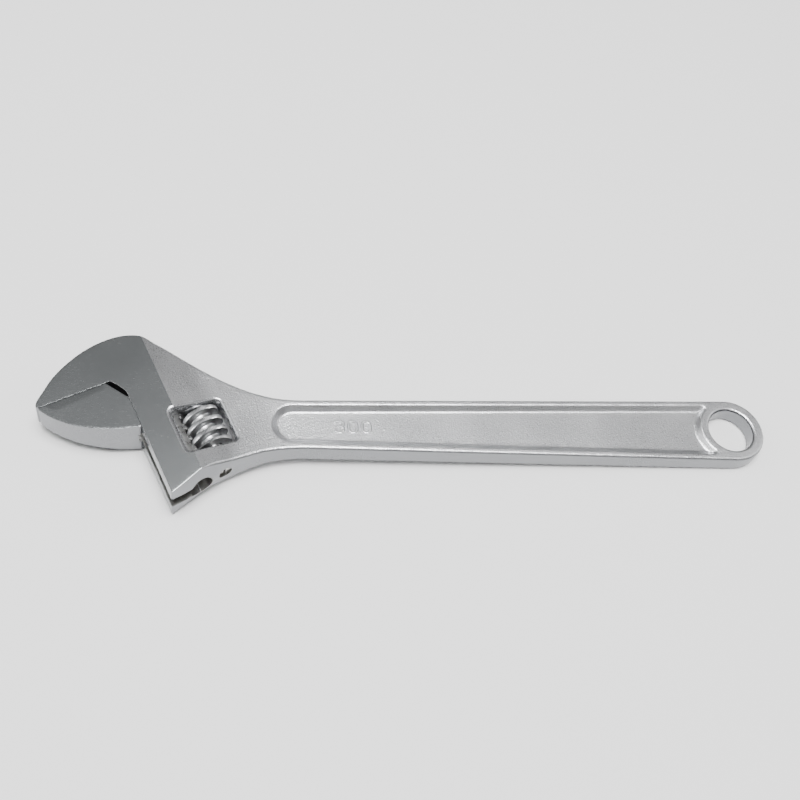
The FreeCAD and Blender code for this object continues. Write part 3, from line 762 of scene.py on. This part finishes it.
# ---------------------------------------------------------------- materials
class Nodes:
    def __init__(self, name):
        self.mat = bpy.data.materials.new(name)
        self.mat.use_nodes = True
        self.t = self.mat.node_tree
        self.t.nodes.clear()
        self.out = self.t.nodes.new("ShaderNodeOutputMaterial")
        self.bsdf = self.t.nodes.new("ShaderNodeBsdfPrincipled")
        self.link(self.bsdf.outputs[0], self.out.inputs[0])
        self.coord = self.t.nodes.new("ShaderNodeTexCoord").outputs["Object"]

    def link(self, a, b):
        self.t.links.new(a, b)

    def new(self, kind, **inputs):
        n = self.t.nodes.new(kind)
        for k, v in inputs.items():
            n.inputs[k.replace("_", " ")].default_value = v
        return n

    def stretched(self, turn, scale):
        m = self.new("ShaderNodeMapping")
        m.inputs["Rotation"].default_value = (0, 0, turn)
        m.inputs["Scale"].default_value = scale
        self.link(self.coord, m.inputs["Vector"])
        return m.outputs[0]

    def noise(self, scale, detail=3, rough=0.55, vec=None):
        n = self.new("ShaderNodeTexNoise", Scale=scale, Detail=detail, Roughness=rough)
        self.link(vec or self.coord, n.inputs["Vector"])
        return n.outputs["Fac"]

    def grains(self, scale, vec=None):
        n = self.new("ShaderNodeTexVoronoi", Scale=scale)
        self.link(vec or self.coord, n.inputs["Vector"])
        return n.outputs["Distance"]

    def remap(self, value, lo, hi, a, b):
        n = self.t.nodes.new("ShaderNodeMapRange")
        n.inputs["From Min"].default_value = lo
        n.inputs["From Max"].default_value = hi
        n.inputs["To Min"].default_value = a
        n.inputs["To Max"].default_value = b
        self.link(value, n.inputs["Value"])
        return n.outputs[0]

    def math(self, op, a, b):
        n = self.t.nodes.new("ShaderNodeMath")
        n.operation = op
        for i, x in enumerate((a, b)):
            if isinstance(x, (int, float)):
                n.inputs[i].default_value = x
            else:
                self.link(x, n.inputs[i])
        return n.outputs[0]

    def mix(self, fac, c0, c1):
        n = self.t.nodes.new("ShaderNodeMix")
        n.data_type = "RGBA"
        n.inputs[6].default_value = c0 + (1,)
        n.inputs[7].default_value = c1 + (1,)
        self.link(fac, n.inputs[0])
        return n.outputs[2]

    def tint(self, value, spread, c0, c1):
        """Colour from c0 to c1 as the value crosses the spread."""
        return self.mix(self.remap(value, *spread, 0, 1), c0, c1)

    def uneven(self, broad, span, fine, ripple):
        """Roughness within a span, with a finer ripple added."""
        return self.math("ADD", self.remap(broad, 0.3, 0.7, *span),
                         self.remap(fine, 0.3, 0.7, *ripple))

    def bump(self, height, strength, distance, after=None):
        n = self.new("ShaderNodeBump", Strength=strength, Distance=distance)
        self.link(height, n.inputs["Height"])
        if after:
            self.link(after, n.inputs["Normal"])
        return n.outputs[0]

    def finish(self, color, rough, normal=None, metallic=1.0):
        b = self.bsdf
        b.inputs["Metallic"].default_value = metallic
        for sock, val in (("Base Color", color), ("Roughness", rough), ("Normal", normal)):
            if val is None:
                continue
            if isinstance(val, tuple):
                b.inputs[sock].default_value = val + (1,)
            elif isinstance(val, float):
                b.inputs[sock].default_value = val
            else:
                self.link(val, b.inputs[sock])
        return self.mat


def satin_chrome():
    n = Nodes("blasted_satin_chrome")
    pits = n.grains(1700)
    fine = n.grains(2900)
    soft = n.noise(2300, 3, 0.6)
    broad = n.noise(38, 3, 0.5)
    share = n.math("ADD", n.remap(broad, 0.3, 0.7, 0, 0.4), n.remap(soft, 0.35, 0.65, 0, 0.6))
    col = n.mix(share, (0.56, 0.565, 0.58), (0.80, 0.805, 0.82))
    rough = n.uneven(broad, (0.30, 0.335), soft, (-0.05, 0.06))
    height = n.math("ADD", n.math("MULTIPLY", soft, 0.5), pits)
    height = n.math("ADD", height, n.math("MULTIPLY", fine, 0.45))
    return n.finish(col, rough, n.bump(height, 0.75, 0.00009))


def rim_satin_shaded():
    n = Nodes("satin_rim_painted_shade")
    soft = n.noise(1500, 3, 0.6)
    broad = n.noise(60, 3, 0.5)
    # painted shade: the window's rounded rim and the upper part of its walls get a darker copy of
    # the satin chrome; the lower roughness is their own smoother finish
    col = n.tint(broad, (0.3, 0.7), (0.455, 0.46, 0.475), (0.50, 0.505, 0.52))
    rough = n.uneven(broad, (0.26, 0.30), soft, (-0.03, 0.04))
    return n.finish(col, rough, n.bump(soft, 0.5, 0.00005))


def side_satin_shaded():
    n = Nodes("satin_side_painted_shade")
    soft = n.noise(1800, 3, 0.6)
    broad = n.noise(30, 3, 0.5)
    waves = n.noise(110, 2, 0.5, n.stretched(0, (1, 1, 3)))
    # painted shade: the side faces get a darker copy of the satin chrome, which holds down their
    # reflection of the bright floor; the smooth wavy texture is their own finish
    col = n.tint(broad, (0.3, 0.7), (0.235, 0.24, 0.25), (0.262, 0.267, 0.277))
    rough = n.uneven(broad, (0.27, 0.34), soft, (-0.03, 0.03))
    nrm = n.bump(waves, 0.25, 0.0003)
    return n.finish(col, rough, n.bump(soft, 0.35, 0.00005, nrm))


def ground_steel_painted_reflection():
    n = Nodes("ground_chrome")
    lines = n.noise(1.0, 4, 0.6, n.stretched(-PSI, (260, 5200, 5200)))
    cloud = n.noise(26, 2, 0.5)
    # painted reflection: the dark grey of the ground faces stands in for the dim surroundings they
    # mirror; the grinding lines and lower roughness are their own finish
    col = n.tint(cloud, (0.3, 0.7), (0.24, 0.252, 0.257), (0.265, 0.277, 0.282))
    rough = n.uneven(cloud, (0.23, 0.26), lines, (-0.025, 0.03))
    return n.finish(col, rough, n.bump(lines, 0.12, 0.00002))


def bore_steel():
    n = Nodes("reamed_bore")
    lines = n.noise(1.0, 3, 0.6, n.stretched(math.pi / 2 - PSI, (4200, 500, 500)))
    cloud = n.noise(160, 4, 0.6)
    col = n.tint(cloud, (0.35, 0.65), (0.20, 0.20, 0.195), (0.36, 0.355, 0.345))
    rough = n.remap(lines, 0.3, 0.7, 0.28, 0.46)
    return n.finish(col, rough, n.bump(lines, 0.3, 0.00004))


def worm_steel():
    n = Nodes("turned_worm_steel")
    lines = n.noise(1.0, 3, 0.6, n.stretched(math.pi / 2 - PSI, (5200, 420, 420)))
    cloud = n.noise(220, 4, 0.6)
    col = n.tint(cloud, (0.35, 0.65), (0.46, 0.465, 0.47), (0.58, 0.585, 0.59))
    rough = n.uneven(cloud, (0.27, 0.36), lines, (-0.03, 0.05))
    return n.finish(col, rough, n.bump(lines, 0.22, 0.00003))


def rack_steel():
    n = Nodes("cast_rack_steel")
    soft = n.noise(700, 4, 0.6)
    cloud = n.noise(180, 4, 0.6)
    col = n.tint(cloud, (0.35, 0.65), (0.30, 0.30, 0.295), (0.46, 0.46, 0.455))
    return n.finish(col, n.remap(soft, 0.3, 0.7, 0.22, 0.42), n.bump(soft, 0.5, 0.0001))


def pin_steel():
    n = Nodes("turned_pin_steel")
    cloud = n.noise(400, 4, 0.6)
    rings = n.noise(1.0, 3, 0.6, n.stretched(math.pi / 2 - PSI, (6200, 700, 700)))
    col = n.tint(cloud, (0.35, 0.65), (0.36, 0.355, 0.345), (0.48, 0.475, 0.465))
    return n.finish(col, n.remap(rings, 0.3, 0.7, 0.2, 0.38), n.bump(rings, 0.25, 0.00003))


def spring_steel():
    n = Nodes("spring_wire")
    cloud = n.noise(900, 3, 0.6)
    col = n.tint(cloud, (0.35, 0.65), (0.42, 0.42, 0.42), (0.55, 0.55, 0.55))
    return n.finish(col, n.remap(cloud, 0.3, 0.7, 0.16, 0.3), n.bump(cloud, 0.2, 0.00003))


SATIN, SIDE_SHADED, GROUND_PAINTED_REFLECTION, BORE = satin_chrome(), side_satin_shaded(), ground_steel_painted_reflection(), bore_steel()
RIM_SHADED = rim_satin_shaded()
WORM_M, RACK_M, PIN_M, SPRING_M = worm_steel(), rack_steel(), pin_steel(), spring_steel()


def centres(me):
    n = len(me.polygons)
    c = np.zeros(n * 3)
    nn = np.zeros(n * 3)
    me.polygons.foreach_get("center", c)
    me.polygons.foreach_get("normal", nn)
    return c.reshape(-1, 3) / MM, nn.reshape(-1, 3)


def paint(ob, mats, index):
    me = ob.data
    me.materials.clear()
    for m in mats:
        me.materials.append(m)
    me.polygons.foreach_set("material_index", index.astype(np.int32))
    me.update()


def crease_between(ob, hard):
    bm = bmesh.new()
    bm.from_mesh(ob.data)
    for e in bm.edges:
        if len(e.link_faces) == 2:
            i, j = (f.material_index for f in e.link_faces)
            if i != j and (i in hard or j in hard):
                e.smooth = False
    bm.to_mesh(ob.data)
    bm.free()


def weigh(ob):
    m = ob.modifiers.new("weigh", "WEIGHTED_NORMAL")
    m.keep_sharp = True


c, n = centres(body.data)
a, b = to_ab(c[:, :2])
nz = np.abs(n[:, 2])
nu = n[:, :2] @ U
nv = n[:, :2] @ V
# index 1: side faces, satin with painted shade
idx = np.where(nz < 0.55, 1, 0)
dw, wi = WINDOW.dist(c[:, :2])
rw = edge_radius(WINDOW.p[wi], "window")
# index 2: ground faces, with a painted dark reflection in their colour
idx[(nz > 0.9) & (a < GROUND_A + 0.02) & (np.abs(c[:, 2]) > 5.2) & (dw > rw + 0.02)] = 2
# index 4: window rim and upper walls, satin with painted shade
idx[(idx != 2) & (dw < rw + 0.05) & (np.abs(c[:, 2]) > 2.0) & (b > 15)] = 4
idx[(nu > 0.98) & (b < 0.5) & (a < -4.2) & (nz < 0.3)] = 2
idx[(nv < -0.98) & (np.abs(a) < 0.3) & (nz < 0.3)] = 2
rb = np.hypot(a - BORE_A, c[:, 2])
idx[(np.abs(rb - BORE_R) < 0.08) & (b > -3.3) & (nz < 0.999)] = 3
idx[(rb < 5.1) & (np.abs(b + 3.2) < 0.05)] = 3
idx[(np.abs(np.abs(c[:, 2]) - 3.0) < 0.02) & (nz > 0.95) & (a < BORE_A)] = 3
idx[(np.abs(nu) > 0.9) & (np.abs(b - 4.5) < 0.05) & (a < BORE_A) & (np.abs(c[:, 2]) < 3.01)] = 3
rp = np.hypot(a - WORM_A, c[:, 2])
idx[(rp < 2.9) & (b > 13) & (nz < 0.999)] = 3
paint(body, [SATIN, SIDE_SHADED, GROUND_PAINTED_REFLECTION, BORE, RIM_SHADED], idx)

c, n = centres(jaw.data)
a, b = to_ab(c[:, :2])
nz = np.abs(n[:, 2])
nu = n[:, :2] @ U
# jaw: ground tops with a painted dark reflection in their colour (0), side faces with painted shade
# (1)
idx = np.where(nz < 0.55, 1, 0)
idx[(nu < -0.95) & (b < 0.6)] = 0
idx[(np.abs(c[:, 2]) < 5.0) & (a > -0.04)] = 2
paint(jaw, [GROUND_PAINTED_REFLECTION, SIDE_SHADED, RACK_M], idx)

for ob, mat in ((worm, WORM_M), (pin, PIN_M), (spring, SPRING_M)):
    paint(ob, [mat], np.zeros(len(ob.data.polygons)))

shade(body, 32)
crease_between(body, {2, 3})
shade(jaw, 26)
crease_between(jaw, {0, 2})
shade(worm, 40)
shade(pin, 30)
shade(spring, 60)
weigh(body)
weigh(jaw)

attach(body, "wrench_body")
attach(pin, "wrench_body")
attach(spring, "wrench_body")
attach(jaw, "jaw")
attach(worm, "worm_screw")
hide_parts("body")
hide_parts("movable_jaw")
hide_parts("worm")
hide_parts("worm_pin")
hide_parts("worm_spring")


# ---------------------------------------------------------------- camera, floor, light
def aim(ob, eye, target, roll=0.0):
    z = (Vector(eye) - Vector(target)).normalized()
    x = Vector((0, 0, 1)).cross(z).normalized()
    y = z.cross(x)
    x2 = x * math.cos(roll) + y * math.sin(roll)
    y2 = y * math.cos(roll) - x * math.sin(roll)
    m = ob.matrix_world
    for i in range(3):
        m[i][0], m[i][1], m[i][2], m[i][3] = x2[i], y2[i], z[i], eye[i]
    ob.matrix_world = m


cam = bpy.data.objects.new("camera", bpy.data.cameras.new("camera"))
bpy.context.scene.collection.objects.link(cam)
cam.data.sensor_width = 36.0
cam.data.lens = 49.41
cam.data.clip_start = 0.01
az, el, dist = math.radians(-19.64), math.radians(56.67), 0.46137
target = np.array([-0.14458, 0.01481, 0.0])
way = np.array([-math.cos(el) * math.sin(az), math.cos(el) * math.cos(az), -math.sin(el)])
aim(cam, tuple(target - dist * way), tuple(target), math.radians(17.61))
bpy.context.scene.camera = cam

REST_SLOPE = (NECK[0][1] - HANDLE_END_H) / (14.9 + 226.0)


def floor_z(x):
    return (-HANDLE_END_H - REST_SLOPE * (0.0149 - x) / MM - 0.02) * MM


me = bpy.data.meshes.new("floor")
s = 2.5
sheet = [(x, y, floor_z(x)) for x, y in ((-s, -s), (s, -s), (s, s), (-s, s))]
me.from_pydata(sheet, [], [(0, 1, 2, 3)])
floor = bpy.data.objects.new("floor", me)
bpy.context.scene.collection.objects.link(floor)
fm = Nodes("pale_floor")
fm.finish((0.93, 0.93, 0.93), 0.9, None, 0.0)
me.materials.append(fm.mat)

world = bpy.data.worlds.new("studio")
bpy.context.scene.world = world
world.use_nodes = True
wt = world.node_tree
bg = wt.nodes["Background"]
sky = wt.nodes.new("ShaderNodeTexCoord").outputs["Generated"]
split = wt.nodes.new("ShaderNodeSeparateXYZ")
wt.links.new(sky, split.inputs[0])
rise = wt.nodes.new("ShaderNodeMapRange")
rise.interpolation_type = "SMOOTHSTEP"
for name, val in (("From Min", 0.0), ("From Max", 1.0), ("To Min", 0.09), ("To Max", 0.42)):
    rise.inputs[name].default_value = val
wt.links.new(split.outputs[2], rise.inputs["Value"])
wt.links.new(rise.outputs[0], bg.inputs["Strength"])
bg.inputs[0].default_value = (1.0, 1.0, 1.0, 1)


def lamp(name, eye, size, watts, look=(-0.14, 0.0, 0.0)):
    d = bpy.data.lights.new(name, "AREA")
    d.shape = "RECTANGLE"
    d.size, d.size_y = size
    d.energy = watts
    ob = bpy.data.objects.new(name, d)
    bpy.context.scene.collection.objects.link(ob)
    aim(ob, eye, look)
    return ob


lamp("key", (-0.22, -0.12, 1.5), (0.75, 0.75), 46.0)
lamp("left", (-1.4, 0.2, 0.9), (0.8, 0.8), 5.0)
lamp("right", (1.2, 0.3, 0.9), (0.7, 0.7), 4.0)

bpy.context.view_layer.update()
